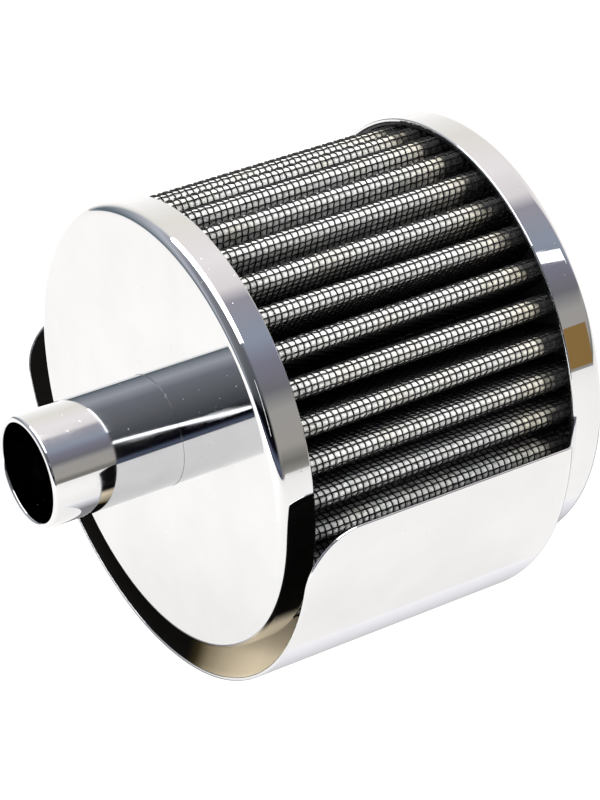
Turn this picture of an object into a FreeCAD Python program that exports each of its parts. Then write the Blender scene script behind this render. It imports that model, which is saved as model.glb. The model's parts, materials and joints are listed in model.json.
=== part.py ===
"""Hooded push-in crankcase breather filter, 3 in body with a 3/4 in neck.

Frame: the neck's axis is Y, with its open end towards -Y. The origin is on that axis, at the flat
seating face of the front end cap. The hood covers the lower half of the pleats (-Z).
All dimensions are in millimetres.
"""
import FreeCAD, Part
import math
import os

V = FreeCAD.Vector
Y_AXIS = V(0, 1, 0)
ORIGIN = V(0, 0, 0)

# End caps: two deep-drawn sheet cups of one size
CAP_R = 38.1                 # 3 in outside diameter
CAP_SHEET = 0.8
CAP_DEPTH = 6.7
CAP_CORNER_R = 1.9
BODY_LENGTH = 63.5           # 2 1/2 in over both caps

# Neck
NECK_R = 9.525               # 3/4 in outside diameter
NECK_SPIGOT_R = 9.0          # swaged down beyond the cap's face, to pass through the washer
NECK_WALL = 1.1
NECK_FREE_LENGTH = 23.8
NECK_FLARE_R = 11.6
NECK_LIP_R = 0.5

# Hood, drawn in one piece with the rear cap. Its half-round skirt is struck from a line above the
# neck's axis, so the gap around the pleats is widest at the sides and narrowest at the bottom.
HOOD_R = 46.04               # 3 5/8 in outside diameter
HOOD_CENTRE_Z = 3.0
HOOD_SHEET = 0.6             # the deep draw thins the sheet
HOOD_EDGE_Z = 0.5            # straight edges of the skirt
HOOD_FRONT_Y = 0.3
SHOULDER_Y = 50.6            # where the skirt turns in towards the cap
SHOULDER_BEND_R = 2.2
HOOD_CORNER_R = 9.6

# Pleated pack
PLEATS = 36
PLEAT_PHASE = 0.7            # degrees from +X to the nearest crest
CREST_R = 36.9               # outside of the crests
VALLEY_CENTRE_R = 24.0
FOLD_R = 1.0                 # bend radius of the middle of the pack
SCREEN_T = 0.3
GAUZE_T = 0.2
LAYER_GAP = 0.02
GAUZE_LAYERS = 4
SEAM_PLEAT = 27              # the pack's joint is on the hooded side
CLIP_T = 0.18
CLIP_LEG = 5.0

# Potting and inner pieces
POTTING_T = 2.4
POTTING_INNER_R = 19.0
CORE_R = 21.9
CORE_WALL = 0.7
CORE_HOLE_R = 2.6
CORE_HOLES_AROUND = 16
CORE_HOLE_ROWS = 6
WASHER_R = 16.0
WASHER_T = 1.2
BAFFLE_R = 14.5
BAFFLE_T = 0.8
BAFFLE_Y = 13.0
BAFFLE_STRAPS = 3
STRAP_T = 0.8
STRAP_W = 5.0
STRAP_X = 16.3

PACK_Y0 = CAP_SHEET + POTTING_T
PACK_Y1 = BODY_LENGTH - CAP_SHEET - POTTING_T


def polar(radius, degrees, y=0.0):
    """Point at a radius and an angle from +X towards +Z, at height y on the neck axis."""
    t = math.radians(degrees)
    return V(radius * math.cos(t), y, radius * math.sin(t))


def ring(y0, y1, r_outer, r_inner):
    """Plain ring or tube along Y."""
    outer = Part.makeCylinder(r_outer, y1 - y0, V(0, y0, 0), Y_AXIS)
    return outer.cut(Part.makeCylinder(r_inner, y1 - y0 + 2, V(0, y0 - 1, 0), Y_AXIS))


def revolve(points):
    """Turn a closed profile of (radius, y) points about the neck axis."""
    wire = Part.makePolygon([V(r, y, 0) for r, y in points] + [V(points[0][0], points[0][1], 0)])
    return Part.Face(wire).revolve(ORIGIN, Y_AXIS, 360)


def cap_cup(hole_r):
    """Drawn cup with its face at y = 0 and its rim at y = CAP_DEPTH, and a hole in its middle."""
    outer = Part.makeCylinder(CAP_R, CAP_DEPTH, ORIGIN, Y_AXIS)
    outer = outer.makeFillet(CAP_CORNER_R, [e for e in outer.Edges
                                            if len(e.Vertexes) == 1 and e.BoundBox.YMax < 0.01])
    r_in = CAP_R - CAP_SHEET
    inner = Part.makeCylinder(r_in, CAP_DEPTH, V(0, CAP_SHEET, 0), Y_AXIS)
    inner = inner.makeFillet(CAP_CORNER_R - CAP_SHEET,
                             [e for e in inner.Edges
                              if len(e.Vertexes) == 1 and e.BoundBox.YMax < CAP_SHEET + 0.01])
    cup = outer.cut(inner)
    # Rim edges are deburred.
    rim = [e for e in cup.Edges if len(e.Vertexes) == 1 and e.BoundBox.YMin > CAP_DEPTH - 0.01]
    cup = cup.makeFillet(0.25, rim)
    if hole_r > 0:
        cup = cup.cut(Part.makeCylinder(hole_r, 3 * CAP_SHEET, V(0, -CAP_SHEET, 0), Y_AXIS))
    return cup


def neck_taper():
    """Cone by which the neck narrows through the cap's sheet, and that the cap's hole is dished to."""
    return Part.makeCone(NECK_R, NECK_SPIGOT_R, CAP_SHEET, ORIGIN, Y_AXIS)


def front_end_cap():
    """Front cap: a mirror-flat face pierced for the neck, with the hole's wall dished inwards."""
    return cap_cup(NECK_SPIGOT_R).cut(neck_taper())


def neck_tube():
    """Thin tube with a rounded open lip. It tapers through the cap's dished hole, and the spigot
    beyond passes through the backing washer and is flared over it."""
    washer_y = CAP_SHEET + WASHER_T
    end_y = washer_y + NECK_WALL
    bore_r = NECK_R - NECK_WALL
    tube = Part.makeCylinder(NECK_R, NECK_FREE_LENGTH, V(0, -NECK_FREE_LENGTH, 0), Y_AXIS)
    tube = tube.fuse([neck_taper(),
                      Part.makeCylinder(NECK_SPIGOT_R, end_y - CAP_SHEET, V(0, CAP_SHEET, 0), Y_AXIS),
                      Part.makeCylinder(NECK_FLARE_R, NECK_WALL, V(0, washer_y, 0), Y_AXIS)])
    tube = tube.cut(Part.makeCylinder(bore_r, 2 * NECK_FREE_LENGTH, V(0, -NECK_FREE_LENGTH - 1, 0), Y_AXIS))
    tube = tube.removeSplitter()
    lip = [e for e in tube.Edges if len(e.Vertexes) == 1 and e.BoundBox.YMax < 0.01 - NECK_FREE_LENGTH]
    return tube.makeFillet(NECK_LIP_R, lip)


def neck_backing_washer():
    """Steel washer that stiffens the thin cap around the neck."""
    return ring(CAP_SHEET, CAP_SHEET + WASHER_T, WASHER_R, NECK_SPIGOT_R)


def neck_braze_fillet():
    """Braze run around the flare on the washer."""
    y = CAP_SHEET + WASHER_T
    return revolve([(NECK_FLARE_R, y), (NECK_FLARE_R + 0.9, y), (NECK_FLARE_R + 0.35, y + 0.35),
                    (NECK_FLARE_R, y + 0.9)])


def splash_baffle():
    """Plain disc held clear of the neck's inner mouth, to catch thrown oil."""
    return Part.makeCylinder(BAFFLE_R, BAFFLE_T, V(0, BAFFLE_Y, 0), Y_AXIS)


def baffle_straps():
    """Z-shaped straps, spot-welded to the front cap and under the baffle."""
    top_y = BAFFLE_Y - STRAP_T
    straps = []
    for i in range(BAFFLE_STRAPS):
        pad = Part.makeBox(STRAP_X + STRAP_T - BAFFLE_R + 3, STRAP_T, STRAP_W,
                           V(BAFFLE_R - 3, top_y, -STRAP_W / 2))
        leg = Part.makeBox(STRAP_T, top_y + STRAP_T - CAP_SHEET, STRAP_W,
                           V(STRAP_X, CAP_SHEET, -STRAP_W / 2))
        foot = Part.makeBox(POTTING_INNER_R - STRAP_X - 0.1, STRAP_T, STRAP_W,
                            V(STRAP_X, CAP_SHEET, -STRAP_W / 2))
        strap = pad.fuse([leg, foot]).removeSplitter()
        strap.rotate(ORIGIN, Y_AXIS, 360.0 / BAFFLE_STRAPS * i + 30)
        straps.append(strap)
    return Part.makeCompound(straps)


def skirt_corner_cutter(side):
    """Everything outside one rounded front corner of the skirt, on the +X or -X side."""
    zc = HOOD_EDGE_Z - HOOD_CORNER_R
    yc = HOOD_FRONT_Y + HOOD_CORNER_R
    block = Part.makeBox(12, HOOD_CORNER_R + 1, HOOD_CORNER_R + 1, V(HOOD_R - 10, HOOD_FRONT_Y - 1, zc))
    block = block.cut(Part.makeCylinder(HOOD_CORNER_R, 14, V(HOOD_R - 11, yc, zc), V(1, 0, 0)))
    if side < 0:
        block = block.mirror(ORIGIN, V(1, 0, 0))
    return block


def hood_form(inset, front_y):
    """Solid inside the skirt and its sloping shoulder, as far in from their outside as the inset."""
    shoulder_end_y = BODY_LENGTH - CAP_DEPTH + 0.9
    wide = Part.makeCircle(HOOD_R - inset, V(0, SHOULDER_Y, HOOD_CENTRE_Z), Y_AXIS)
    narrow = Part.makeCircle(CAP_R - inset, V(0, shoulder_end_y, 0), Y_AXIS)
    shoulder = Part.makeLoft([Part.Wire(wide), Part.Wire(narrow)], True, True)
    skirt = Part.makeCylinder(HOOD_R - inset, SHOULDER_Y - front_y, V(0, front_y, HOOD_CENTRE_Z), Y_AXIS)
    form = skirt.fuse(shoulder).removeSplitter()
    bend = [e for e in form.Edges if abs(e.BoundBox.YMin - SHOULDER_Y) < 0.01
            and abs(e.BoundBox.YMax - SHOULDER_Y) < 0.01]
    return form.makeFillet(SHOULDER_BEND_R - inset, bend)


def hood_cap():
    """Rear cap, sloping shoulder and skirt, drawn from one sheet. Only the lower half is skirted."""
    cup = cap_cup(0)
    cup.rotate(ORIGIN, V(0, 0, 1), 180)
    cup.translate(V(0, BODY_LENGTH, 0))
    skirt = hood_form(0, HOOD_FRONT_Y).cut(hood_form(HOOD_SHEET, HOOD_FRONT_Y - 1))
    size = 4 * HOOD_R
    skirt = skirt.cut(Part.makeBox(size, size, size, V(-size / 2, -size / 2, HOOD_EDGE_Z)))
    for side in (1, -1):
        skirt = skirt.cut(skirt_corner_cutter(side))
    return cup.fuse(skirt).removeSplitter()


def in_plan(u, w, angle):
    """Point u outwards and w across, in a frame turned by an angle in radians."""
    c, s = math.cos(angle), math.sin(angle)
    return V(u * c - w * s, 0, u * s + w * c)


class Fold:
    """Geometry of one pleat. A flat wall joins the round crest fold to the round valley fold."""

    def __init__(self):
        self.half = math.radians(180.0 / PLEATS)
        self.stack = 2 * SCREEN_T + GAUZE_LAYERS * GAUZE_T + (GAUZE_LAYERS + 1) * LAYER_GAP
        self.crest_u = CREST_R - FOLD_R - self.stack / 2
        self.valley_u = VALLEY_CENTRE_R * math.cos(self.half)
        self.valley_w = VALLEY_CENTRE_R * math.sin(self.half)
        du = self.crest_u - self.valley_u
        lean = math.atan2(self.valley_w, du) - math.asin(2 * FOLD_R / math.hypot(du, self.valley_w))
        self.n_u, self.n_w = math.sin(lean), math.cos(lean)

    def crest(self, offset, angle):
        """Start, tip and end of the crest fold, offset from the pack's middle (plus is outwards)."""
        r = FOLD_R + offset
        u = self.crest_u + r * self.n_u
        return [in_plan(u, -r * self.n_w, angle), in_plan(self.crest_u + r, 0, angle),
                in_plan(u, r * self.n_w, angle)]

    def valley(self, offset, angle):
        """Start, tip and end of the valley fold that follows the crest at this angle."""
        r = FOLD_R - offset
        u = self.valley_u - r * self.n_u
        w = self.valley_w - r * self.n_w
        return [in_plan(u, w, angle), in_plan(VALLEY_CENTRE_R - r, 0, angle + self.half),
                in_plan(u, -w, angle + 2 * self.half)]


def pleat_wire(offset):
    """Closed outline of the folded pack, offset from the pack's middle (plus is outwards)."""
    fold = Fold()
    edges = []
    path = []
    for i in range(PLEATS):
        angle = math.radians(PLEAT_PHASE) + 2 * fold.half * i
        path += [fold.crest(offset, angle), fold.valley(offset, angle)]
    for arc, following in zip(path, path[1:] + path[:1]):
        edges.append(Part.Arc(*arc).toShape())
        edges.append(Part.LineSegment(arc[2], following[0]).toShape())
    return Part.Wire(Part.__sortEdges__(edges))


def pleated_layer(low, high):
    """One folded sheet of the pack between two offsets from the pack's middle."""
    outer = Part.Face(pleat_wire(high))
    face = outer.cut(Part.Face(pleat_wire(low)))
    solid = face.extrude(V(0, PACK_Y1 - PACK_Y0, 0))
    solid.translate(V(0, PACK_Y0, 0))
    return solid


def pack_layers():
    """Names and shapes of the screens and gauze sheets, from the outside in."""
    stack = [("outer_wire_screen", SCREEN_T)]
    stack += [("gauze_layer_%d" % (i + 1), GAUZE_T) for i in range(GAUZE_LAYERS)]
    stack += [("inner_wire_screen", SCREEN_T)]
    total = sum(t for _, t in stack) + LAYER_GAP * (len(stack) - 1)
    high = total / 2
    shapes = {}
    for name, thick in stack:
        shapes[name] = pleated_layer(high - thick, high)
        high -= thick + LAYER_GAP
    return shapes


def seam_clip():
    """Folded strip over one inner fold, which clamps the two ends of the pack together."""
    fold = Fold()
    angle = math.radians(PLEAT_PHASE + SEAM_PLEAT * 360.0 / PLEATS)
    near = -fold.stack / 2 - LAYER_GAP
    outlines = []
    for offset in (near, near - CLIP_T):
        start, tip, end = fold.valley(offset, angle)
        reach = fold.crest(offset, angle)[2] - start
        back = fold.crest(offset, angle + 2 * fold.half)[0] - end
        outlines.append([start + reach.normalize() * CLIP_LEG, start, tip, end,
                         end + back.normalize() * CLIP_LEG])
    edges = []
    for leg0, start, tip, end, leg1 in outlines:
        edges += [Part.LineSegment(leg0, start).toShape(), Part.Arc(start, tip, end).toShape(),
                  Part.LineSegment(end, leg1).toShape()]
    for i in (0, 4):
        edges.append(Part.LineSegment(outlines[0][i], outlines[1][i]).toShape())
    face = Part.Face(Part.Wire(Part.__sortEdges__(edges)))
    clip = face.extrude(V(0, PACK_Y1 - PACK_Y0 - 1, 0))
    clip.translate(V(0, PACK_Y0 + 0.5, 0))
    return clip


def potting_ring(floor_y, side):
    """Cast ring that bonds the ends of the pack and the core into a cap, with a low collar that
    has crept up between the crests and the cap's wall. side is the way it faces along Y."""
    wall_r = CAP_R - CAP_SHEET
    base_y = floor_y + side * POTTING_T
    top_y = floor_y + side * (CAP_DEPTH - CAP_SHEET - 0.3)
    base = ring(min(floor_y, base_y), max(floor_y, base_y), wall_r, POTTING_INNER_R)
    collar = ring(min(base_y, top_y), max(base_y, top_y), wall_r, CREST_R + 0.05)
    return base.fuse(collar).removeSplitter()


def support_core():
    """Perforated tube inside the pleats, which keeps the caps apart when the neck is pushed in."""
    tube = ring(PACK_Y0, PACK_Y1, CORE_R, CORE_R - CORE_WALL)
    span = PACK_Y1 - PACK_Y0
    pitch = span / CORE_HOLE_ROWS
    punches = []
    for row in range(CORE_HOLE_ROWS):
        y = PACK_Y0 + pitch * (row + 0.5)
        for i in range(CORE_HOLES_AROUND):
            a = 360.0 / CORE_HOLES_AROUND * (i + 0.5 * (row % 2))
            start = polar(CORE_R - 3, a, y)
            punches.append(Part.makeCylinder(CORE_HOLE_R, 5, start, polar(1, a)))
    return tube.cut(Part.makeCompound(punches))


def main():
    os.makedirs("parts", exist_ok=True)
    shapes = {
        "neck_tube": neck_tube(),
        "neck_backing_washer": neck_backing_washer(),
        "neck_braze_fillet": neck_braze_fillet(),
        "front_end_cap": front_end_cap(),
        "splash_baffle": splash_baffle(),
        "baffle_straps": baffle_straps(),
        "front_potting_ring": potting_ring(CAP_SHEET, 1),
        "support_core": support_core(),
        "pack_seam_clip": seam_clip(),
        "rear_potting_ring": potting_ring(BODY_LENGTH - CAP_SHEET, -1),
        "hood_cap": hood_cap(),
    }
    shapes.update(pack_layers())
    for name, shape in shapes.items():
        shape.exportStep("parts/%s.step" % name)
        box = shape.BoundBox
        print("%-22s solids %d valid %s volume %.0f  y %.2f..%.2f z %.2f..%.2f"
              % (name, len(shape.Solids), shape.isValid(), shape.Volume,
                 box.YMin, box.YMax, box.ZMin, box.ZMax))


main()
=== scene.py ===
"""Looks of a hooded push-in crankcase breather filter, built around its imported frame.

The chromed pieces are turned or drawn again with rounded edges, the outer screen is woven wire by wire,
and the gauze behind it is a pillowed sheet. All other pieces keep their CAD shape. Shapes are worked out
in millimetres in the CAD frame: the neck's axis is Y, open end towards -Y, and +Z is up.
"""
import json
import math

import bpy
import numpy as np
from bpy.props import FloatProperty, FloatVectorProperty, IntProperty, PointerProperty
from mathutils import Matrix, Vector


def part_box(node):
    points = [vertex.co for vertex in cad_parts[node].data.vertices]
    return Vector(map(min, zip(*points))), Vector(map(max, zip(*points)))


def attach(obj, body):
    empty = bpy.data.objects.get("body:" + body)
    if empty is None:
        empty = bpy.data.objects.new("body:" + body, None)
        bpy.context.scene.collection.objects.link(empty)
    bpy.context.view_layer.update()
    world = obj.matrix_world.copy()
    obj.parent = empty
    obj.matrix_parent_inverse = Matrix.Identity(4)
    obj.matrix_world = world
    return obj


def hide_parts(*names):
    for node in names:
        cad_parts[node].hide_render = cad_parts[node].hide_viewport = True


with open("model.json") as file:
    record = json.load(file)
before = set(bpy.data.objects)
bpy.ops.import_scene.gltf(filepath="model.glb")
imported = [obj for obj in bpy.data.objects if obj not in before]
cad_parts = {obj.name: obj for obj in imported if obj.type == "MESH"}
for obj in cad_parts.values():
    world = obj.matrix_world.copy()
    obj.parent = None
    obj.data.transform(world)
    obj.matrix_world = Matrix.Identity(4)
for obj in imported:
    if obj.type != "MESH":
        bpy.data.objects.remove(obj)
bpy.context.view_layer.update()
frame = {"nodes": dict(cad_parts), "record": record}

bl_info = {
    "name": "Breather filter",
    "version": (1, 0, 0),
    "blender": (4, 5, 0),
    "location": "3D View > Sidebar > Breather",
    "description": "Builds the visible pieces of a hooded crankcase breather filter",
    "category": "Object",
}

MM = 0.001
BODY = "root"
TURN_STEPS = 288            # segments in one turn of a lathed piece


def node_low(name):
    """Lowest corner of a CAD node, in millimetres."""
    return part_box(name)[0] / MM


def node_high(name):
    """Highest corner of a CAD node, in millimetres."""
    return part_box(name)[1] / MM


CAP_R = node_high("front_end_cap").x
CAP_DEPTH = node_high("front_end_cap").y
BODY_LENGTH = node_high("hood_cap").y
NECK_R = frame["record"]["mounts"][0]["dims"]["r_mm"]
HOOD_R = 46.04              # outside radius of the skirt, whose edges lie below its widest line
FLOOR_Z = node_low("hood_cap").z
PACK_Y0 = node_low("outer_wire_screen").y
PACK_Y1 = node_high("outer_wire_screen").y
SEAM = 0.02                 # gap between the neck and the front cap's hole, which shows as a line


# ---------------------------------------------------------------- sizes and colours

def linear(hex_colour):
    """sRGB hex text as a linear RGBA colour."""
    parts = [int(hex_colour[i:i + 2], 16) / 255 for i in (1, 3, 5)]
    return tuple(p / 12.92 if p <= 0.04045 else ((p + 0.055) / 1.055) ** 2.4 for p in parts) + (1.0,)


def length_property(name, description, millimetres):
    """Float property for a length, given in millimetres and kept in metres."""
    return FloatProperty(name=name, description=description, default=millimetres * MM, unit="LENGTH",
                         precision=5)


def colour_property(name, description, hex_colour):
    """Colour property that starts at an sRGB hex value."""
    return FloatVectorProperty(name=name, description=description, default=linear(hex_colour)[:3],
                               subtype="COLOR", size=3, min=0.0, max=1.0)


class BreatherSheetSettings(bpy.types.PropertyGroup):
    """Sizes of the chromed sheet and tube."""
    cap_sheet: length_property("Cap sheet", "Thickness of the drawn end caps", 0.8)
    cap_corner: length_property("Cap corner", "Outside radius between face and band", 1.9)
    hood_sheet: length_property("Hood sheet", "Thickness of the skirt after the draw", 0.6)
    hood_corner: length_property("Skirt corner", "Radius of the skirt's front corners", 9.6)
    hood_edge: length_property("Skirt edge", "Height of the skirt's straight edges over the neck's axis",
                               0.5)
    shoulder: length_property("Shoulder", "Distance from seat to the bend into the shoulder", 50.6)
    neck_wall: length_property("Neck wall", "Wall of the neck", 1.1)
    spigot_r: length_property("Spigot radius", "Outside radius of the neck beyond the front cap", 9.0)
    chrome: colour_property("Chrome", "Face-on colour of bright chromium plating", "#D3D4D6")


class BreatherPackSettings(bpy.types.PropertyGroup):
    """Sizes and colours of the pleated pack."""
    pleats: IntProperty(name="Pleats", description="Number of pleats", default=36, min=3)
    phase: FloatProperty(name="Phase", description="Angle from +X to the nearest crest",
                         default=math.radians(0.7), subtype="ANGLE")
    wire: length_property("Wire", "Diameter of the screen's coated wire", 0.25)
    pitch: length_property("Pitch", "Distance between neighbouring wires", 1.16)
    wire_colour: colour_property("Wire colour", "Black epoxy on the wire", "#0C0C0D")
    gauze_colour: colour_property("Gauze colour", "Clean cotton", "#F3F4F0")
    oil_colour: colour_property("Oiled gauze", "Cotton where the tack oil has gathered", "#CDBB86")


class BreatherStageSettings(bpy.types.PropertyGroup):
    """Camera and light of the studio."""
    lean: FloatProperty(name="Lean", description="How far the filter lies rolled on its round hood",
                        default=math.radians(3.6), subtype="ANGLE")
    azimuth: FloatProperty(name="Azimuth", description="Camera angle from the front, towards +X",
                           default=math.radians(56.836), subtype="ANGLE")
    elevation: FloatProperty(name="Elevation", description="Camera angle over the floor",
                             default=math.radians(31.678), subtype="ANGLE")
    distance: length_property("Distance", "From camera to the point it looks at", 523.43)
    lens: FloatProperty(name="Lens", description="Focal length in mm on a 36 mm sensor", default=141.78)
    key_power: FloatProperty(name="Softbox", description="Power of the overhead softbox in watts",
                             default=11.0)
    fill_power: FloatProperty(name="Fill", description="Power of the low front light in watts",
                              default=11.0)
    room: FloatProperty(name="Room", description="Brightness of the room's walls", default=1.5)


# ---------------------------------------------------------------- meshes

def facing(points, faces, normals):
    """The faces, each wound so that it looks the way its corners' normals do."""
    a, b, c = points[faces[:, 0]], points[faces[:, 1]], points[faces[:, -1]]
    look = normals[faces].sum(axis=1)
    wrong = np.einsum("ij,ij->i", np.cross(b - a, c - a), look) < 0
    faces = faces.copy()
    faces[wrong] = faces[wrong][:, ::-1]
    return faces


def build_piece(name, parts, materials, replaced, uv=None):
    """One smooth mesh object from parts, each (points in mm, normals, list of face arrays). The last
    material is for the last part's second face array, which is the inside of a sheet."""
    points = np.concatenate([p for p, _, _ in parts])
    normals = np.concatenate([n for _, n, _ in parts])
    faces, shift = [], 0
    for part_points, part_normals, part_faces in parts:
        faces += [facing(part_points, f, part_normals) + shift for f in part_faces]
        shift += len(part_points)
    mesh = bpy.data.meshes.new(name)
    mesh.vertices.add(len(points))
    mesh.vertices.foreach_set("co", (points * MM).astype(np.float32).ravel())
    corners = np.concatenate([f.ravel() for f in faces]).astype(np.int32)
    sides = np.concatenate([np.full(len(f), f.shape[1]) for f in faces])
    mesh.loops.add(len(corners))
    mesh.loops.foreach_set("vertex_index", corners)
    mesh.polygons.add(len(sides))
    mesh.polygons.foreach_set("loop_start", (np.cumsum(sides) - sides).astype(np.int32))
    mesh.update(calc_edges=True)
    mesh.shade_smooth()
    if uv is not None:
        layer = mesh.uv_layers.new(name="sheet_mm")
        layer.data.foreach_set("uv", uv[corners].astype(np.float32).ravel())
    mesh.normals_split_custom_set_from_vertices(normals.tolist())
    for material in materials:
        mesh.materials.append(material)
    if len(materials) > 1:
        marks = np.zeros(len(sides), np.int32)
        inside = len(sides) - sum(len(f) for f in parts[-1][2][1:])
        marks[inside:inside + len(parts[-1][2][1])] = 1
        mesh.polygons.foreach_set("material_index", marks)
    piece = bpy.data.objects.new(name, mesh)
    bpy.context.scene.collection.objects.link(piece)
    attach(piece, BODY)
    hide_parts(replaced)
    return piece


def grid_faces(index, wrap_rows=False, wrap_columns=False):
    """Quads between neighbouring rows and columns of a grid of vertex numbers."""
    if wrap_rows:
        index = np.concatenate([index, index[:1]])
    if wrap_columns:
        index = np.concatenate([index, index[:, :1]], axis=1)
    return np.stack([index[:-1, :-1], index[:-1, 1:], index[1:, 1:], index[1:, :-1]], -1).reshape(-1, 4)


def rounded_outline(corners, closed=True, steps=8):
    """Points and outward normals of a (radius, y) outline whose corners are (radius, y, fillet).
    An open outline starts and ends on the axis."""
    flat = np.array([c[:2] for c in corners])
    ahead = np.roll(flat, -1, axis=0)
    area = np.sign((flat[:, 0] * ahead[:, 1] - ahead[:, 0] * flat[:, 1]).sum())
    points, normals = [], []
    for i, (_, _, fillet) in enumerate(corners):
        here = flat[i]
        if not closed and i in (0, len(corners) - 1):
            run = flat[1] - here if i == 0 else here - flat[i - 1]
            run = run / np.linalg.norm(run)
            points.append(here)
            normals.append(np.array([run[1], -run[0]]) * area)
            continue
        back, on = flat[i - 1] - here, ahead[i] - here
        back, on = back / np.linalg.norm(back), on / np.linalg.norm(on)
        half = math.acos(float(back @ on)) / 2
        centre = here + (back + on) / np.linalg.norm(back + on) * fillet / math.sin(half)
        start = here + back * fillet / math.tan(half) - centre
        end = here + on * fillet / math.tan(half) - centre
        first = math.atan2(start[1], start[0])
        sweep = (math.atan2(end[1], end[0]) - first + math.pi) % (2 * math.pi) - math.pi
        bulge = np.sign(on[0] * back[1] - on[1] * back[0]) * area
        for k in range(steps + 1):
            angle = first + sweep * k / steps
            ray = np.array([math.cos(angle), math.sin(angle)])
            points.append(centre + fillet * ray)
            normals.append(ray * bulge)
    return np.array(points), np.array(normals), closed


def turned(vectors):
    """Rows of (radius, y) vectors turned about the Y axis, as a grid of (x, y, z)."""
    turn = np.linspace(0, 2 * math.pi, TURN_STEPS, endpoint=False)
    radius, height = vectors[:, :1], vectors[:, 1:]
    return np.stack([radius * np.cos(turn), height + 0 * turn, radius * np.sin(turn)], -1)


def lathe(outline):
    """Part made by turning a rounded outline about the neck's axis."""
    rows, normals, closed = outline
    points = turned(rows)
    index = np.arange(points.shape[0] * points.shape[1]).reshape(points.shape[:2])
    if closed:
        faces = [grid_faces(index, wrap_rows=True, wrap_columns=True)]
    else:
        faces = [grid_faces(index[1:-1], wrap_columns=True)]
        for pole, ring in ((index[0, 0], index[1]), (index[-1, 0], index[-2])):
            faces.append(np.stack([np.full(len(ring), pole), ring, np.roll(ring, -1)], -1))
    return points.reshape(-1, 3), turned(normals).reshape(-1, 3), faces


def rectangle(name, across, along, z, material):
    """Flat mesh of one face that looks up, between two x and two y values in mm."""
    (left, right), (front, rear) = across, along
    corners = [(left, front, z), (right, front, z), (right, rear, z), (left, rear, z)]
    mesh = bpy.data.meshes.new(name)
    mesh.from_pydata([Vector(corner) * MM for corner in corners], [], [(0, 1, 2, 3)])
    mesh.materials.append(material)
    return mesh


# ---------------------------------------------------------------- materials

def add(tree, kind, inputs, output=0, **settings):
    """Add a node with its settings, set or link its inputs by name or number, and return one output.
    By number, MapRange takes a value, the range it comes in and the range it turns into (0 to 4), and
    Mix takes the share of the second colour and the two colours (0, 6 and 7)."""
    node = tree.nodes.new("ShaderNode" + kind)
    for key, value in settings.items():
        setattr(node, key, value)
    for key, value in inputs.items():
        if isinstance(value, bpy.types.NodeSocket):
            tree.links.new(value, node.inputs[key])
        else:
            node.inputs[key].default_value = value
    return node.outputs[output] if node.outputs else None


def new_material(name):
    """Empty node material, its tree, and the position on the piece in metres."""
    material = bpy.data.materials.new(name)
    material.use_nodes = True
    tree = material.node_tree
    tree.nodes.clear()
    return material, tree, add(tree, "TexCoord", {}, "Object")


def finish_material(tree, inputs):
    """Principled surface with these inputs, joined to the output."""
    add(tree, "OutputMaterial", {"Surface": add(tree, "BsdfPrincipled", inputs)})


def bright_chrome(name, colour, ripple_mm, haze):
    """Decorative chromium over nickel on drawn steel, buffed before plating: a neutral mirror. The draw
    leaves shallow ripples some 12 mm long, and wiping leaves a thin haze, the odd hairline and specks
    of dust 0.15 mm across."""
    material, tree, spot = new_material(name)
    wiped = add(tree, "TexNoise", {"Vector": spot, "Scale": 1 / (14.0 * MM), "Detail": 5.0})
    drawn_out = add(tree, "VectorMath", {0: spot, 1: (1.0, 0.05, 1.0)}, operation="MULTIPLY")
    hairline = add(tree, "TexNoise", {"Vector": drawn_out, "Scale": 1 / (0.5 * MM)})
    specks = add(tree, "TexVoronoi", {"Vector": spot, "Scale": 1 / (2.2 * MM)})
    dust = add(tree, "MapRange", {0: specks, 1: 0.04, 2: 0.07, 3: 0.35, 4: 0.0})
    rough = add(tree, "MapRange", {0: wiped, 1: 0.42, 2: 0.72, 3: 0.025, 4: 0.025 + haze})
    lined = add(tree, "MapRange", {0: hairline, 1: 0.62, 2: 0.75, 3: 0.0, 4: 0.05})
    rough = add(tree, "Math", {0: rough, 1: lined}, operation="ADD")
    rough = add(tree, "Math", {0: rough, 1: dust}, operation="ADD")
    cloud = add(tree, "MapRange", {0: wiped, 1: 0.35, 2: 0.75})
    tone = add(tree, "Mix", {0: cloud, 6: (*colour, 1.0), 7: (*[c * 0.94 for c in colour], 1.0)}, 2,
               data_type="RGBA")
    draw = add(tree, "TexNoise", {"Vector": spot, "Scale": 1 / (12.0 * MM), "Detail": 1.0})
    rippled = add(tree, "Bump", {"Height": draw, "Distance": ripple_mm * MM, "Strength": 1.0})
    finish_material(tree, {"Base Color": tone, "Metallic": 1.0, "Roughness": rough, "Normal": rippled})
    return material


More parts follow.
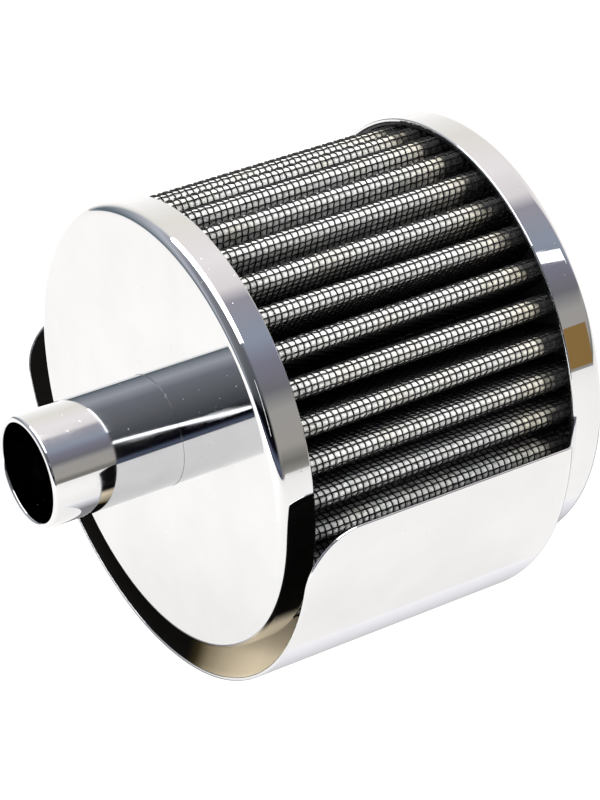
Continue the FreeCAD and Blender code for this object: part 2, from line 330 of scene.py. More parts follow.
def inside_with_painted_shade():
    """Inside of the deep-drawn hood, which hardly takes any plating: dull, and near-black with painted
    shade.
    A painted patch of light lies on its lowest part, dark brown on the left and cream to the right and
    further in."""
    material, tree, spot = new_material("thin_smoky_plating")
    stain = add(tree, "TexNoise", {"Vector": spot, "Scale": 1 / (7.0 * MM), "Detail": 5.0})
    height = add(tree, "SeparateXYZ", {0: spot}, "Z")
    # Painted light: the patch keeps to the lowest part of the inside.
    low = add(tree, "MapRange", {0: height, 1: -30.0 * MM, 2: -35.0 * MM},
              interpolation_type="SMOOTHSTEP")
    across = add(tree, "VectorMath", {0: spot, 1: (1.0, 1.2, 0.0)}, "Value", operation="DOT_PRODUCT")
    # Painted light: oil is the colour of the painted patch of light, dark brown on the left and cream to
    # the right and further in.
    painted_light_gradient = add(tree, "MapRange", {0: across, 1: 8.0 * MM, 2: 26.0 * MM})
    oil = add(tree, "Mix", {0: painted_light_gradient, 6: linear("#4A3F24"), 7: linear("#F4E4C6")}, 2, data_type="RGBA")
    # Painted light: the patch starts some 5 mm to the right of the middle.
    painted_light_patch = add(tree, "MapRange", {0: across, 1: 5.0 * MM, 2: 12.0 * MM}, interpolation_type="SMOOTHSTEP")
    painted_light_patch = add(tree, "Math", {0: painted_light_patch, 1: low}, operation="MULTIPLY")
    # Painted shade: near-black wherever the painted patch of light is not.
    tone = add(tree, "Mix", {0: painted_light_patch, 6: linear("#0A0908"), 7: oil}, 2, data_type="RGBA")
    finish_material(tree, {"Base Color": tone, "Specular IOR Level": 0.2,
                           "Roughness": add(tree, "MapRange", {0: stain, 1: 0.3, 2: 0.7, 3: 0.3, 4: 0.5}),
                           "Normal": add(tree, "Bump", {"Height": stain, "Distance": 0.01 * MM})})
    return material


def epoxy_wire(colour):
    """Steel wire dipped in black epoxy after weaving: a soft satin black with small runs, thinner and
    greyer where it has been rubbed."""
    material, tree, spot = new_material("black_epoxy_coated_wire")
    runs = add(tree, "TexNoise", {"Vector": spot, "Scale": 1 / (0.8 * MM), "Detail": 3.0})
    patches = add(tree, "TexNoise", {"Vector": spot, "Scale": 1 / (6.0 * MM), "Detail": 3.0})
    rubbed = add(tree, "MapRange", {0: patches, 1: 0.58, 2: 0.75})
    tone = add(tree, "Mix", {0: rubbed, 6: (*colour, 1.0), 7: linear("#1B1B1C")}, 2, data_type="RGBA")
    rough = add(tree, "MapRange", {0: runs, 1: 0.3, 2: 0.7, 3: 0.34, 4: 0.55})
    finish_material(tree, {"Base Color": tone, "Specular IOR Level": 0.35, "Roughness": rough,
                           "Normal": add(tree, "Bump", {"Height": runs, "Distance": 0.01 * MM})})
    return material


def cotton_gauze(name, clean, oiled):
    """Open plain-woven surgical cotton, bleached and lightly oiled: matt and off-white on the crests,
    yellower in random patches of oil and towards the rear. Painted shade darkens it down the folds, and
    a painted shadow turns it black at the rear ends, next to the rear band's rim. The real threads are
    0.25 mm apart, and they are drawn 0.4 mm apart so that they show."""
    thread_pitch = 0.4
    material, tree, spot = new_material(name)
    sheet = add(tree, "UVMap", {}, uv_map="sheet_mm")
    threads = []
    for axis in ("X", "Y"):
        across = add(tree, "SeparateXYZ", {0: sheet}, axis)
        turns = add(tree, "Math", {0: across, 1: 2 * math.pi / thread_pitch}, operation="MULTIPLY")
        wave = add(tree, "Math", {0: turns}, operation="SINE")
        threads.append(add(tree, "Math", {0: wave}, operation="ABSOLUTE"))
    weave = add(tree, "Math", {0: threads[0], 1: threads[1]}, operation="MULTIPLY")
    from_axis = add(tree, "VectorMath", {0: spot, 1: (1.0, 0.0, 1.0)}, operation="MULTIPLY")
    radius = add(tree, "VectorMath", {0: from_axis}, "Value", operation="LENGTH")
    along = add(tree, "SeparateXYZ", {0: spot}, "Y")
    drift = add(tree, "TexNoise", {"Vector": spot, "Scale": 1 / (9.0 * MM), "Detail": 4.0})
    gathered = add(tree, "MapRange", {0: drift, 1: 0.5, 2: 0.72, 3: 0.0, 4: 0.25})
    near_rear = add(tree, "MapRange", {0: along, 1: 44.0 * MM, 2: 55.0 * MM, 3: 0.0, 4: 0.5})
    oil = add(tree, "Math", {0: gathered, 1: near_rear}, operation="ADD")
    tone = add(tree, "Mix", {0: oil, 6: (*clean, 1.0), 7: (*oiled, 1.0)}, 2, data_type="RGBA")
    hole = add(tree, "MapRange", {0: weave, 1: 0.0, 2: 0.45, 3: 0.3, 4: 0.0})
    tone = add(tree, "Mix", {0: hole, 6: tone, 7: linear("#6D6A62")}, 2, data_type="RGBA")
    # Painted shade: the gauze darkens down the folds to near black in the valleys.
    deep = add(tree, "MapRange", {0: radius, 1: 30.0 * MM, 2: 35.9 * MM, 3: 0.97, 4: 0.0},
               interpolation_type="SMOOTHSTEP")
    tone = add(tree, "Mix", {0: deep, 6: tone, 7: linear("#0B0B0A")}, 2, data_type="RGBA")
    # Painted shadow: black over the last few mm at the rear ends, next to the rear band's rim, with a
    # ragged edge.
    ragged = add(tree, "TexNoise", {"Vector": spot, "Scale": 1 / (3.0 * MM)})
    ragged = add(tree, "MapRange", {0: ragged, 1: 0.3, 2: 0.7, 3: -1.1 * MM, 4: 1.1 * MM})
    edge = add(tree, "Math", {0: along, 1: ragged}, operation="ADD")
    painted_rim_shadow = add(tree, "MapRange", {0: edge, 1: 51.5 * MM, 2: 55.0 * MM}, interpolation_type="SMOOTHSTEP")
    tone = add(tree, "Mix", {0: painted_rim_shadow, 6: tone, 7: linear("#050505")}, 2, data_type="RGBA")
    rough = add(tree, "MapRange", {0: weave, 1: 0.0, 2: 1.0, 3: 0.95, 4: 0.8})
    finish_material(tree, {"Base Color": tone, "Specular IOR Level": 0.2, "Sheen Weight": 0.15,
                           "Sheen Roughness": 0.6, "Roughness": rough,
                           "Normal": add(tree, "Bump", {"Height": weave, "Distance": 0.06 * MM})})
    return material


def cast_potting():
    """Two-part black polyurethane, poured and spun: a satin skin with a few drowned bubbles."""
    material, tree, spot = new_material("cast_black_polyurethane")
    flow = add(tree, "TexNoise", {"Vector": spot, "Scale": 1 / (5.0 * MM), "Detail": 3.0})
    bubbles = add(tree, "TexVoronoi", {"Vector": spot, "Scale": 1 / (1.6 * MM)})
    pits = add(tree, "MapRange", {0: bubbles, 1: 0.0, 2: 0.22}, interpolation_type="SMOOTHSTEP")
    tone = add(tree, "Mix", {0: flow, 6: linear("#060606"), 7: linear("#141413")}, 2, data_type="RGBA")
    level = add(tree, "Bump", {"Height": flow, "Distance": 0.15 * MM})
    finish_material(tree, {"Base Color": tone,
                           "Roughness": add(tree, "MapRange", {0: flow, 1: 0.3, 2: 0.7, 3: 0.32, 4: 0.5}),
                           "Normal": add(tree, "Bump", {"Height": pits, "Distance": 0.08 * MM,
                                                        "Normal": level})})
    return material


def rolled_steel(name, light, dark, rough, stretch):
    """Cold-rolled steel strip with a thin plating: grey metal whose rolling lines run one way."""
    material, tree, spot = new_material(name)
    drawn_out = add(tree, "VectorMath", {0: spot, 1: stretch}, operation="MULTIPLY")
    lines = add(tree, "TexNoise", {"Vector": drawn_out, "Scale": 1 / (0.35 * MM), "Detail": 3.0})
    cloud = add(tree, "TexNoise", {"Vector": spot, "Scale": 1 / (4.0 * MM), "Detail": 4.0})
    both = add(tree, "Math", {0: lines, 1: cloud}, operation="MULTIPLY")
    tone = add(tree, "Mix", {0: both, 6: linear(dark), 7: linear(light)}, 2, data_type="RGBA")
    dulled = add(tree, "MapRange", {0: cloud, 1: 0.3, 2: 0.7, 3: rough, 4: rough + 0.15})
    finish_material(tree, {"Base Color": tone, "Metallic": 1.0, "Roughness": dulled,
                           "Normal": add(tree, "Bump", {"Height": lines, "Distance": 0.004 * MM})})
    return material


def brass_braze():
    """Brass brazing run, as it froze: golden, rippled, with a dull flux stain."""
    material, tree, spot = new_material("brass_braze")
    stain = add(tree, "TexNoise", {"Vector": spot, "Scale": 1 / (2.0 * MM), "Detail": 5.0})
    ripples = add(tree, "TexNoise", {"Vector": spot, "Scale": 1 / (0.9 * MM), "Detail": 3.0})
    tone = add(tree, "Mix", {0: stain, 6: linear("#D9B25F"), 7: linear("#7A5A2C")}, 2, data_type="RGBA")
    rough = add(tree, "MapRange", {0: stain, 1: 0.3, 2: 0.7, 3: 0.25, 4: 0.55})
    finish_material(tree, {"Base Color": tone, "Metallic": 1.0, "Roughness": rough,
                           "Normal": add(tree, "Bump", {"Height": ripples, "Distance": 0.05 * MM})})
    return material


# ---------------------------------------------------------------- pleats

class Pleats:
    """The folded line of the outer screen's middle, by the distance along it."""

    REFERENCE = 0.6             # from the pack's middle out to the screen's middle
    FOLD_R = 1.0                # bend of the pack's middle in each fold
    STACK = 1.5                 # thickness of all sheets together
    CREST_R = 36.9              # outermost reach of the pack, from the neck's axis
    VALLEY_R = 24.0             # centre of each inner fold, from the neck's axis

    def __init__(self, settings):
        self.count = settings.pleats
        self.phase = settings.phase
        self.half = math.pi / self.count
        self.crest_u = self.CREST_R - self.FOLD_R - self.STACK / 2
        self.valley = np.array([math.cos(self.half), math.sin(self.half)]) * self.VALLEY_R
        du = self.crest_u - self.valley[0]
        span = math.hypot(du, self.valley[1])
        self.lean = math.atan2(self.valley[1], du) - math.asin(2 * self.FOLD_R / span)
        self.outer_r = self.FOLD_R + self.REFERENCE
        self.inner_r = self.FOLD_R - self.REFERENCE
        self.turn = math.pi / 2 - self.lean
        self.crest_half = self.outer_r * self.turn
        self.wall = math.sqrt(span ** 2 - 4 * self.FOLD_R ** 2)
        self.pleat_length = 2 * (self.crest_half + self.wall + self.inner_r * (self.turn - self.half))
        self.length = self.count * self.pleat_length

    def at(self, distance):
        """Points (x, z) and outward normals at distances along the line from a crest's middle."""
        index = np.round(distance / self.pleat_length)
        local = distance - index * self.pleat_length
        run = np.abs(local)
        on_wall = np.clip(run - self.crest_half, 0, self.wall)
        in_valley = np.clip(run - self.crest_half - self.wall, 0, None) / self.inner_r
        angle = np.minimum(run, self.crest_half) / self.outer_r - in_valley
        normal = np.stack([np.cos(angle), np.sin(angle)], -1)
        n_wall = np.array([math.sin(self.lean), math.cos(self.lean)])
        along = np.array([-n_wall[1], n_wall[0]])
        crest = np.array([self.crest_u, 0.0]) + self.outer_r * normal
        wall = np.array([self.crest_u, 0.0]) + self.outer_r * n_wall + on_wall[:, None] * along
        valley = self.valley - self.inner_r * normal
        point = np.where((run < self.crest_half)[:, None], crest,
                         np.where((in_valley > 0)[:, None], valley, wall))
        side = np.where(local < 0, -1.0, 1.0)
        point[:, 1] *= side
        normal[:, 1] *= side
        turn = self.phase + index * 2 * self.half
        cos, sin = np.cos(turn), np.sin(turn)

        def place_in_plan(v):
            return np.stack([v[:, 0] * cos - v[:, 1] * sin, v[:, 0] * sin + v[:, 1] * cos], -1)
        return place_in_plan(point), place_in_plan(normal)

    def near_crest(self, distance, margin):
        """True where the line bends round a crest."""
        local = distance - np.round(distance / self.pleat_length) * self.pleat_length
        return np.abs(local) < self.crest_half + margin


def wire_part(centres, normals, sideways, radius, closed, sides=5):
    """Tubes round rows of centres. normals and sideways span each tube's cross-section."""
    angle = np.linspace(0, 2 * math.pi, sides, endpoint=False)
    ray = (normals[:, :, None] * np.cos(angle)[:, None] + sideways[:, :, None] * np.sin(angle)[:, None])
    points = centres[:, :, None] + radius * ray
    wires, steps = centres.shape[:2]
    index = np.arange(wires * steps * sides).reshape(wires, steps, sides)
    faces = [grid_faces(wire, wrap_rows=closed, wrap_columns=True) for wire in index]
    return points.reshape(-1, 3), ray.reshape(-1, 3), [np.concatenate(faces)]


def weave_counts(line, settings):
    """Numbers of lengthwise wires and of wires round the pleats. Both fit the pack evenly."""
    pitch = settings.pitch / MM
    return 2 * round(line.length / pitch / 2), round((PACK_Y1 - PACK_Y0) / pitch)


def flat_to_space(plan, height):
    """(x, z) vectors with a height along Y, as (x, y, z)."""
    return np.stack([plan[..., 0], height + 0 * plan[..., 0], plan[..., 1]], -1)


# ---------------------------------------------------------------- operators

class BREATHER_OT_neck(bpy.types.Operator):
    """Draw the push-in neck: a thin tube with a rounded lip, flared over its washer"""
    bl_idname = "breather.neck"
    bl_label = "Neck"

    def execute(self, context):
        settings = context.scene.breather_sheet
        low, high = node_low("neck_tube"), node_high("neck_tube")
        bore = NECK_R - settings.neck_wall / MM
        spigot = settings.spigot_r / MM
        flare_y = high.y - settings.neck_wall / MM
        outline = rounded_outline([
            (bore, low.y, 0.45), (NECK_R, low.y, 0.55), (NECK_R, -SEAM, 0.12),
            (spigot, settings.cap_sheet / MM, 0.1), (spigot, flare_y, 0.05),
            (high.x, flare_y, 0.15), (high.x, high.y, 0.3), (bore, high.y, 0.5)])
        material = bright_chrome("bright_chrome_on_drawn_tube", settings.chrome, ripple_mm=0.0015,
                                 haze=0.05)
        build_piece("neck", [lathe(outline)], [material], "neck_tube")
        return {"FINISHED"}


class BREATHER_OT_front_cap(bpy.types.Operator):
    """Draw the front end cap: a mirror-flat face with a rounded edge and a short band"""
    bl_idname = "breather.front_cap"
    bl_label = "Front cap"

    def execute(self, context):
        settings = context.scene.breather_sheet
        sheet, corner = settings.cap_sheet / MM, settings.cap_corner / MM
        outline = rounded_outline([
            (NECK_R + SEAM, 0.0, 0.12), (CAP_R, 0.0, corner), (CAP_R, CAP_DEPTH, 0.3),
            (CAP_R - sheet, CAP_DEPTH, 0.3), (CAP_R - sheet, sheet, corner - sheet),
            (settings.spigot_r / MM + SEAM, sheet, 0.1)])
        material = bright_chrome("bright_chrome_on_front_cap", settings.chrome, ripple_mm=0.0012,
                                 haze=0.06)
        build_piece("front_cap", [lathe(outline)], [material], "front_end_cap")
        return {"FINISHED"}


class BREATHER_OT_hood(bpy.types.Operator):
    """Draw the rear cap with its sloping shoulder and half-round skirt"""
    bl_idname = "breather.hood"
    bl_label = "Hood"

    EDGE_BULGE = 0.5            # how far the sheet's edge stands out, against a fully round one
    BEND = 0.9                  # how far the bend into the shoulder reaches to each side of the fold
    LAP = 0.9                   # how far the shoulder reaches over the cap's band
    SINK = 0.05                 # how deep the shoulder's end lies in the band
    WIDTH_POINTS = 241          # from one straight edge to the other, closest near both
    CORNER_SPACE = 2.0          # beyond the rounded corners, before the rows of points run straight
    EDGE_POINTS = 9             # round the sheet's edge, from outside to inside
    ROWS = (13, 13, 11, 7)      # of points: at the corners, along the skirt, in the bend, up the shoulder

    def execute(self, context):
        settings = context.scene.breather_sheet
        sheet, corner = settings.cap_sheet / MM, settings.cap_corner / MM
        rim = BODY_LENGTH - CAP_DEPTH
        cup = rounded_outline([
            (0.0, BODY_LENGTH, 0.0), (CAP_R, BODY_LENGTH, corner), (CAP_R, rim, 0.3),
            (CAP_R - sheet, rim, 0.3), (CAP_R - sheet, BODY_LENGTH - sheet, corner - sheet),
            (0.0, BODY_LENGTH - sheet, 0.0)], closed=False)
        outside = bright_chrome("bright_chrome_on_hood", settings.chrome, ripple_mm=0.0016, haze=0.05)
        build_piece("hood", [lathe(cup), self.skirt(settings, rim)], [outside, inside_with_painted_shade()],
                    "hood_cap")
        return {"FINISHED"}

    def skirt(self, settings, rim):
        """Skirt and shoulder as one sheet with a rounded edge all round."""
        half_sheet = settings.hood_sheet / MM / 2
        surface = self.surface(settings, rim)
        across, along = np.gradient(surface, axis=1), np.gradient(surface, axis=0)
        normal = np.cross(across, along)
        normal /= np.linalg.norm(normal, axis=-1, keepdims=True)
        rows, columns = surface.shape[:2]
        lowest = columns // 2
        if normal[0, lowest, 2] > 0:
            normal = -normal
        inside = surface - 2 * half_sheet * normal
        border = ([(0, c) for c in range(columns)] + [(r, columns - 1) for r in range(1, rows)]
                  + [(rows - 1, c) for c in range(columns - 2, -1, -1)]
                  + [(r, 0) for r in range(rows - 2, 0, -1)])
        edge = np.array([surface[rc] for rc in border])
        edge_normal = np.array([normal[rc] for rc in border])
        run = np.roll(edge, -1, axis=0) - np.roll(edge, 1, axis=0)
        out = np.cross(run, edge_normal)
        out /= np.linalg.norm(out, axis=-1, keepdims=True)
        if out[lowest, 1] > 0:
            out = -out
        rolled_points, rolled_normals = [], []
        for angle in np.linspace(0, math.pi, self.EDGE_POINTS):
            ray = math.cos(angle) * edge_normal + math.sin(angle) * out
            flat = math.cos(angle) * edge_normal + self.EDGE_BULGE * math.sin(angle) * out
            rolled_points.append(edge - half_sheet * edge_normal + half_sheet * flat)
            rolled_normals.append(ray)
        rolled_points, rolled_normals = np.array(rolled_points), np.array(rolled_normals)
        grid = np.arange(rows * columns).reshape(rows, columns)
        roll = np.arange(rolled_points[..., 0].size).reshape(rolled_points.shape[:2])
        start = 2 * rows * columns
        points = np.concatenate([surface.reshape(-1, 3), inside.reshape(-1, 3),
                                 rolled_points.reshape(-1, 3)])
        normals = np.concatenate([normal.reshape(-1, 3), -normal.reshape(-1, 3),
                                  rolled_normals.reshape(-1, 3)])
        faces = [grid_faces(grid), grid_faces(grid + rows * columns),
                 grid_faces(roll + start, wrap_columns=True)]
        return points, normals, faces

    def surface(self, settings, rim):
        """Grid of points on the outside, from the front edge to the cap, and from edge to edge."""
        lip = settings.hood_sheet / MM / 2 * self.EDGE_BULGE
        edge_z = settings.hood_edge / MM - lip
        corner = settings.hood_corner / MM - lip
        front = node_low("hood_cap").y + lip
        bend_y = settings.shoulder / MM
        middle_z = FLOOR_Z + HOOD_R
        end_y = rim + self.LAP
        share = np.sin(np.linspace(-math.pi / 2, math.pi / 2, self.WIDTH_POINTS))

        def ring(shift):
            """Skirt at shift 0, cap at shift 1, and the straight shoulder between them."""
            radius = HOOD_R + (CAP_R - self.SINK - HOOD_R) * shift
            centre = middle_z * (1 - shift)
            top = math.asin((edge_z - centre) / radius)
            turn = -math.pi / 2 + share * (math.pi / 2 + top)
            return np.stack([radius * np.cos(turn), np.full_like(turn, bend_y + (end_y - bend_y) * shift),
                             centre + radius * np.sin(turn)], -1)

        fold = ring(0.0)
        over = np.clip(fold[:, 2] - (edge_z - corner), 0, corner)
        start_y = front + (corner - np.sqrt(corner ** 2 - over ** 2))
        straight_y = front + corner + self.CORNER_SPACE
        at_corners, along_skirt, in_bend, up_shoulder = self.ROWS
        rows = []
        for t in np.linspace(0, 1, at_corners):
            rows.append(start_y + (straight_y - start_y) * t)
        for y in np.linspace(straight_y, bend_y - self.BEND, along_skirt)[1:]:
            rows.append(np.full_like(start_y, y))
        rows = [np.stack([fold[:, 0], y, fold[:, 2]], -1) for y in rows]
        shoulder = ring(1.0) - fold
        before = rows[-1]
        beyond = fold + shoulder / np.linalg.norm(shoulder, axis=-1, keepdims=True) * self.BEND
        for t in np.linspace(0, 1, in_bend)[1:]:
            rows.append((1 - t) ** 2 * before + 2 * t * (1 - t) * fold + t ** 2 * beyond)
        rows += [ring(shift) for shift in np.linspace(0.2, 1, up_shoulder)]
        return np.array(rows)


class BREATHER_OT_screen(bpy.types.Operator):
    """Weave the outer screen over the pleats, wire by wire, in plain weave"""
    bl_idname = "breather.screen"
    bl_label = "Woven screen"

    WAVE = 0.9                  # how far a wire swings to each side, in radii of the wire
    TAIL = 0.2                  # how far the lengthwise wires reach beyond the pack

    def execute(self, context):
        settings = context.scene.breather_pack
        line = Pleats(settings)
        wires, rings = weave_counts(line, settings)
        radius = settings.wire / MM / 2
        wave = self.WAVE * radius
        pitch_s = line.length / wires
        pitch_y = (PACK_Y1 - PACK_Y0) / rings
        # Wires along the pleats, one cross-section at each crossing.
        plan, normal = line.at(np.arange(wires) * pitch_s)
        over = np.where((np.arange(wires)[:, None] + np.arange(rings)) % 2, 1.0, -1.0)
        heights = PACK_Y0 + (np.arange(rings) + 0.5) * pitch_y
        heights[0], heights[-1] = PACK_Y0 - self.TAIL, PACK_Y1 + self.TAIL
        shape = (wires, rings, 2)
        centres = plan[:, None] + wave * over[..., None] * normal[:, None]
        sideways = np.stack([-normal[:, 1], normal[:, 0]], -1)
        long_wires = wire_part(
            flat_to_space(centres, heights),
            flat_to_space(np.broadcast_to(normal[:, None], shape), 0.0),
            flat_to_space(np.broadcast_to(sideways[:, None], shape), 0.0), radius, closed=False)
        # Wires round the pleats, with more cross-sections where they go round a crest.
        steps = np.arange(2 * wires) * pitch_s / 2
        keep = (np.arange(2 * wires) % 2 == 0) | line.near_crest(steps, pitch_s)
        plan, normal = line.at(steps[keep])
        turn = math.pi * steps[keep] / pitch_s
        over = np.cos(turn)[None] * np.where(np.arange(rings) % 2, -1.0, 1.0)[:, None]
        centres = plan[None] + wave * over[..., None] * normal[None]
        heights = PACK_Y0 + (np.arange(rings)[:, None] + 0.5) * pitch_y
        shape = centres.shape
        up = np.zeros(shape[:2] + (3,))
        up[..., 1] = 1.0
        round_wires = wire_part(
            flat_to_space(centres, heights), flat_to_space(np.broadcast_to(normal[None], shape), 0.0),
            up, radius, closed=True)
        build_piece("woven_screen", [long_wires, round_wires], [epoxy_wire(settings.wire_colour)],
                    "outer_wire_screen")
        return {"FINISHED"}


class BREATHER_OT_gauze(bpy.types.Operator):
    """Lay the outer gauze sheet under the screen, pressed in by the wires and puffed out between them"""
    bl_idname = "breather.gauze"
    bl_label = "Gauze"

    PRESSED = -0.24             # the gauze where two wires cross over it, from the screen's middle
    PUFF = 0.2                  # how far it rises in the middle of a mesh
    SEED = 7

    def execute(self, context):
        settings = context.scene.breather_pack
        line = Pleats(settings)
        wires, rings = weave_counts(line, settings)
        steps = np.arange(2 * wires + 1)
        distance = steps * line.length / wires / 2
        heights = PACK_Y0 + np.arange(2 * rings + 1) * (PACK_Y1 - PACK_Y0) / rings / 2
        between_long = steps % 2 == 1
        between_round = np.arange(2 * rings + 1) % 2 == 0
        puff = between_long[:, None] * 0.5 + between_round[None] * 0.5
        uneven = 0.85 + 0.3 * np.random.default_rng(self.SEED).random(puff.shape)
        depth = self.PRESSED + self.PUFF * (puff * uneven)
        depth[-1] = depth[0]
        plan, normal = line.at(distance % line.length)
        points = flat_to_space(plan[:, None] + depth[..., None] * normal[:, None], heights)
        slope_s, slope_y = np.gradient(points, axis=0), np.gradient(points, axis=1)
        look = np.cross(slope_s, slope_y)
        look /= np.linalg.norm(look, axis=-1, keepdims=True)
        flat = flat_to_space(np.broadcast_to(normal[:, None], points.shape[:2] + (2,)), 0.0)
        look *= np.sign((look * flat).sum(-1, keepdims=True))
        uv = np.stack(np.broadcast_arrays(distance[:, None], heights[None]), -1).reshape(-1, 2)
        index = np.arange(points.shape[0] * points.shape[1]).reshape(points.shape[:2])
        material = cotton_gauze("oiled_cotton_gauze", settings.gauze_colour, settings.oil_colour)
        build_piece("gauze_face", [(points.reshape(-1, 3), look.reshape(-1, 3), [grid_faces(index)])],
                    [material], "gauze_layer_1", uv=uv)
        return {"FINISHED"}


class BREATHER_OT_inner_finishes(bpy.types.Operator):
    """Give the pieces that keep their CAD shape their real finishes"""
    bl_idname = "breather.inner_finishes"
    bl_label = "Inner finishes"

    def execute(self, context):
        settings = context.scene.breather_pack
        gauze = cotton_gauze("inner_cotton_gauze", settings.gauze_colour, settings.oil_colour)
        strip = rolled_steel("bright_rolled_strip", "#B4B5B6", "#77787A", 0.22, (1.0, 1.0, 0.06))
        finishes = {
            "neck_backing_washer": rolled_steel("zinc_plated_washer", "#A9AEB6", "#6F747C", 0.3,
                                                (1.0, 1.0, 0.1)),
            "neck_braze_fillet": brass_braze(),
            "splash_baffle": strip,
            "baffle_straps": strip,
            "pack_seam_clip": strip,
            "support_core": rolled_steel("tinned_perforated_tube", "#A2A2A0", "#6A6A68", 0.35,
                                         (1.0, 0.06, 1.0)),
            "front_potting_ring": cast_potting(),
            "inner_wire_screen": epoxy_wire(settings.wire_colour),
        }
        finishes["rear_potting_ring"] = finishes["front_potting_ring"]
        finishes.update({"gauze_layer_%d" % i: gauze for i in (2, 3, 4)})
        for name, material in finishes.items():
            for material_slot in frame["nodes"][name].material_slots:
                material_slot.material = material
        return {"FINISHED"}


class BREATHER_OT_stage(bpy.types.Operator):
    """Set the light table, the softbox, the room and the camera"""
    bl_idname = "breather.stage"
    bl_label = "Stage"

    # Brightness of the room by the angle over the floor, in degrees, from the right, up and over to the
    # left: a dim room, a grey curtain, the edge of the ceiling diffuser and the diffuser. The first list
    # is the room beyond the rear cap, and the second the room in front of the neck, with a black flat low
    # on the right.
    BEYOND = ((0, "#706E68"), (8, "#9C9892"), (26, "#9A9793"), (36, "#6C6B70"), (50, "#787684"),
              (62, "#8A92A0"), (84, "#94919A"), (92, "#DCD6D6"), (110, "#ECE6E6"), (145, "#E2DED6"),
              (180, "#F2F0EE"))
    BEFORE = ((0, "#5A6276"), (8, "#0C0C14"), (26, "#08080A"), (38, "#4C5054"), (76, "#6E7074"),
              (112, "#80828A"), (140, "#B4B6BE"), (168, "#868C92"), (180, "#5C6870"))

    # Glowing cards in the room: name, middle and size in mm, colour and strength.
    CARDS = (
        ("strip_light", (380.0, -205.0, 215.0), (13.0, 220.0), "#FFFFFF", 3.4),
        ("window", (172.0, 223.0, 233.0), (17.0, 60.0), "#FFFFFF", 3.0),
        ("brown_door", (302.0, 205.0, 45.0), (70.0, 104.0), "#A8854F", 0.9),
    )

    TABLE_REACH = 600.0         # from the middle of the table to its edges
    TABLE_GAP = 0.05            # from the hood's lowest point down to the table
    PAINTED_SHADOW_CARD_GAP = 0.03        # from the hood's lowest point down to the card with the painted shadow
    SOFTBOX_AT = Vector((-50.0, BODY_LENGTH / 2, 800.0)) * MM
    FILL_AT = Vector((120.0, -530.0, 140.0)) * MM
    AIM_AT = Vector((5.18, 0.396 * BODY_LENGTH, 0.0)) * MM

    def execute(self, context):
        settings = context.scene.breather_stage
        self.things = []
        self.light_table()
        self.room(context.scene, settings)
        for card in self.CARDS:
            self.glowing_card(*card)
        self.grey_card()
        self.softbox(settings)
        self.fill(settings)
        self.camera(context.scene, settings)
        # The filter keeps its own frame, so the whole studio leans instead.
        lean = Matrix.Rotation(settings.lean, 4, "Y")
        for thing in self.things:
            thing.matrix_basis = lean @ thing.matrix_basis
        context.scene.view_settings.view_transform = "Standard"
        return {"FINISHED"}

    def light_table(self):
        """White acrylic table lit from below: an even white with almost no shadow."""
        material, tree, _ = new_material("opal_acrylic")
        finish_material(tree, {"Base Color": linear("#6F6F6E"), "Roughness": 0.6,
                               "Specular IOR Level": 0.1, "Emission Color": linear("#FFFCF8"),
                               "Emission Strength": 1.0})
        span = (-self.TABLE_REACH, self.TABLE_REACH)
        mesh = rectangle("light_table", span, span, FLOOR_Z - self.TABLE_GAP, material)
        self.put("light_table", mesh)

    def put(self, name, data):
        """Add one thing of the studio."""
        thing = bpy.data.objects.new(name, data)
        bpy.context.scene.collection.objects.link(thing)
        self.things.append(thing)
        return thing

    def room(self, scene, settings):
        """Walls and ceiling as a background that varies round the neck's axis. The view itself stays
        white."""
        world = bpy.data.worlds.new("studio_room")
        scene.world = world
        world.use_nodes = True
        tree = world.node_tree
        tree.nodes.clear()
        look = add(tree, "TexCoord", {}, "Generated")
        right, far, up = [add(tree, "SeparateXYZ", {0: look}, axis) for axis in ("X", "Y", "Z")]
        turn = add(tree, "Math", {0: up, 1: right}, operation="ARCTAN2")
        turn = add(tree, "Math", {0: turn, 1: settings.lean}, operation="ADD")
        turn = add(tree, "Math", {0: turn}, operation="ABSOLUTE")
        share = add(tree, "MapRange", {0: turn, 1: 0.0, 2: math.pi})
        walls = []
        for stops in (self.BEFORE, self.BEYOND):
            wall = add(tree, "ValToRGB", {0: share})
            band = wall.node.color_ramp
            while len(band.elements) < len(stops):
                band.elements.new(1.0)
            for element, (degrees, hex_colour) in zip(band.elements, stops):
                element.position = degrees / 180
                element.color = linear(hex_colour)
            walls.append(wall)
        side = add(tree, "MapRange", {0: far, 1: -0.2, 2: 0.2}, interpolation_type="SMOOTHSTEP")
        colour = add(tree, "Mix", {0: side, 6: walls[0], 7: walls[1]}, 2, data_type="RGBA")
        dim = add(tree, "Background", {"Color": colour, "Strength": settings.room})
        white = add(tree, "Background", {"Color": linear("#FFFFFF"), "Strength": 1.0})
        seen = add(tree, "LightPath", {}, "Is Camera Ray")
        add(tree, "OutputWorld", {"Surface": add(tree, "MixShader", {0: seen, 1: dim, 2: white})})

    def grey_card(self):
        """Glowing card flat on the table under the hood, with the hood's shadow painted into its glow:
        dim up to near its right-hand edge.
        """
        right = 34.0
        material, tree, spot = new_material("matt_grey_card")
        across = add(tree, "SeparateXYZ", {0: spot}, "X")
        # Painted shadow: the glow rises from 0.33 to 1.3 over the last 20 mm to the right-hand edge, so
        # the chrome shows the hood's shadow.
        lit = add(tree, "MapRange", {0: across, 1: 14.0 * MM, 2: right * MM, 3: 0.33, 4: 1.3})
        glow = add(tree, "Emission", {"Color": linear("#FCFBFF"), "Strength": lit})
        add(tree, "OutputMaterial", {"Surface": glow})
        mesh = rectangle("grey_card", (-HOOD_R, right), (-2.0, BODY_LENGTH + 60),
                         FLOOR_Z - self.PAINTED_SHADOW_CARD_GAP, material)
        self.show_in_chrome("grey_card", mesh)

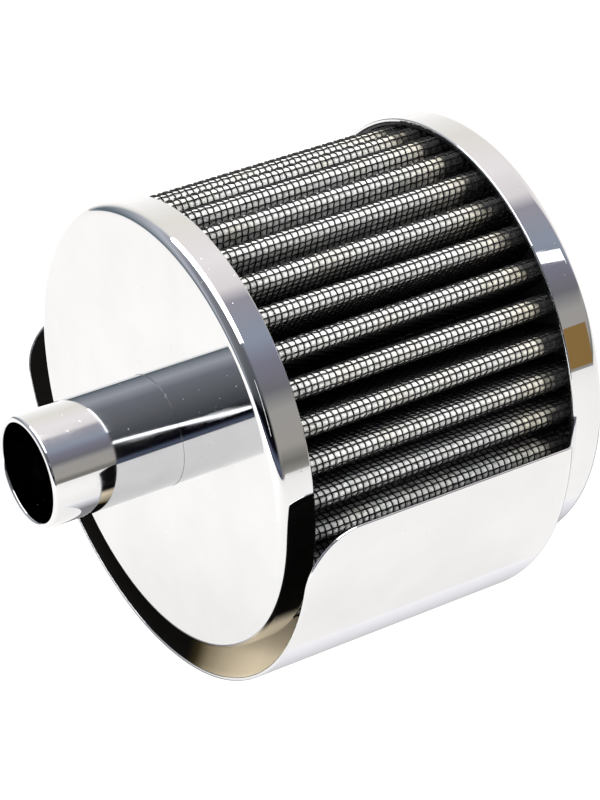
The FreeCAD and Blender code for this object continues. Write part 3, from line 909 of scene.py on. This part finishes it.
    def show_in_chrome(self, name, mesh):
        """Add a card that only mirror surfaces see."""
        card = self.put(name, mesh)
        card.visible_camera = False
        card.visible_diffuse = False
        card.visible_shadow = False
        return card

    def glowing_card(self, name, centre, size, hex_colour, strength):
        """Glowing card that faces the filter. Only mirror surfaces see it."""
        w, h = size[0] / 2, size[1] / 2
        material, tree, _ = new_material(name)
        glow = add(tree, "Emission", {"Color": linear(hex_colour), "Strength": strength})
        add(tree, "OutputMaterial", {"Surface": glow})
        mesh = rectangle(name, (-w, w), (-h, h), 0.0, material)
        card = self.show_in_chrome(name, mesh)
        card.location = Vector(centre) * MM
        aim = Vector((0, BODY_LENGTH / 2, 0)) * MM - card.location
        card.rotation_euler = aim.to_track_quat("Z", "Y").to_euler()

    def softbox(self, settings):
        """Large soft light straight overhead."""
        light = bpy.data.lights.new("softbox", "AREA")
        light.shape = "RECTANGLE"
        light.size, light.size_y = 1.0, 0.55
        light.energy = settings.key_power
        self.put("softbox", light).location = self.SOFTBOX_AT

    def fill(self, settings):
        """Soft light low in front of the neck. The chrome doesn't show it."""
        light = bpy.data.lights.new("fill", "AREA")
        light.size = 0.35
        light.energy = settings.fill_power
        lamp = self.put("fill", light)
        lamp.location = self.FILL_AT
        lamp.rotation_euler = (-lamp.location).to_track_quat("-Z", "Y").to_euler()
        lamp.visible_glossy = False

    def camera(self, scene, settings):
        """Long lens, looking down on the front and the right side."""
        data = bpy.data.cameras.new("camera")
        data.lens = settings.lens
        data.sensor_width = 36.0
        data.clip_start = 0.01
        camera = self.put("camera", data)
        az, el = settings.azimuth, settings.elevation
        away = Vector((math.sin(az) * math.cos(el), -math.cos(az) * math.cos(el), math.sin(el)))
        camera.location = self.AIM_AT + away * settings.distance
        camera.rotation_euler = (-away).to_track_quat("-Z", "Y").to_euler()
        scene.camera = camera


class BREATHER_PT_panel(bpy.types.Panel):
    """Sidebar panel with the sizes, the colours and a button for each piece"""
    bl_idname = "BREATHER_PT_panel"
    bl_label = "Breather filter"
    bl_space_type = "VIEW_3D"
    bl_region_type = "UI"
    bl_category = "Breather"

    def draw(self, context):
        for name, group in GROUPS.items():
            box = self.layout.box()
            for key in group.__annotations__:
                box.prop(getattr(context.scene, name), key)
        for operator in OPERATORS:
            self.layout.operator(operator.bl_idname)


GROUPS = {
    "breather_sheet": BreatherSheetSettings,
    "breather_pack": BreatherPackSettings,
    "breather_stage": BreatherStageSettings,
}
OPERATORS = (
    BREATHER_OT_neck,
    BREATHER_OT_front_cap,
    BREATHER_OT_hood,
    BREATHER_OT_screen,
    BREATHER_OT_gauze,
    BREATHER_OT_inner_finishes,
    BREATHER_OT_stage,
)


def register():
    for cls in (*GROUPS.values(), *OPERATORS, BREATHER_PT_panel):
        bpy.utils.register_class(cls)
    for name, group in GROUPS.items():
        setattr(bpy.types.Scene, name, PointerProperty(type=group))


def unregister():
    for name in GROUPS:
        delattr(bpy.types.Scene, name)
    for cls in reversed((*GROUPS.values(), *OPERATORS, BREATHER_PT_panel)):
        bpy.utils.unregister_class(cls)


def main():
    register()
    for operator in OPERATORS:
        family, name = operator.bl_idname.split(".")
        getattr(getattr(bpy.ops, family), name)()


if __name__ == "__main__":
    main()
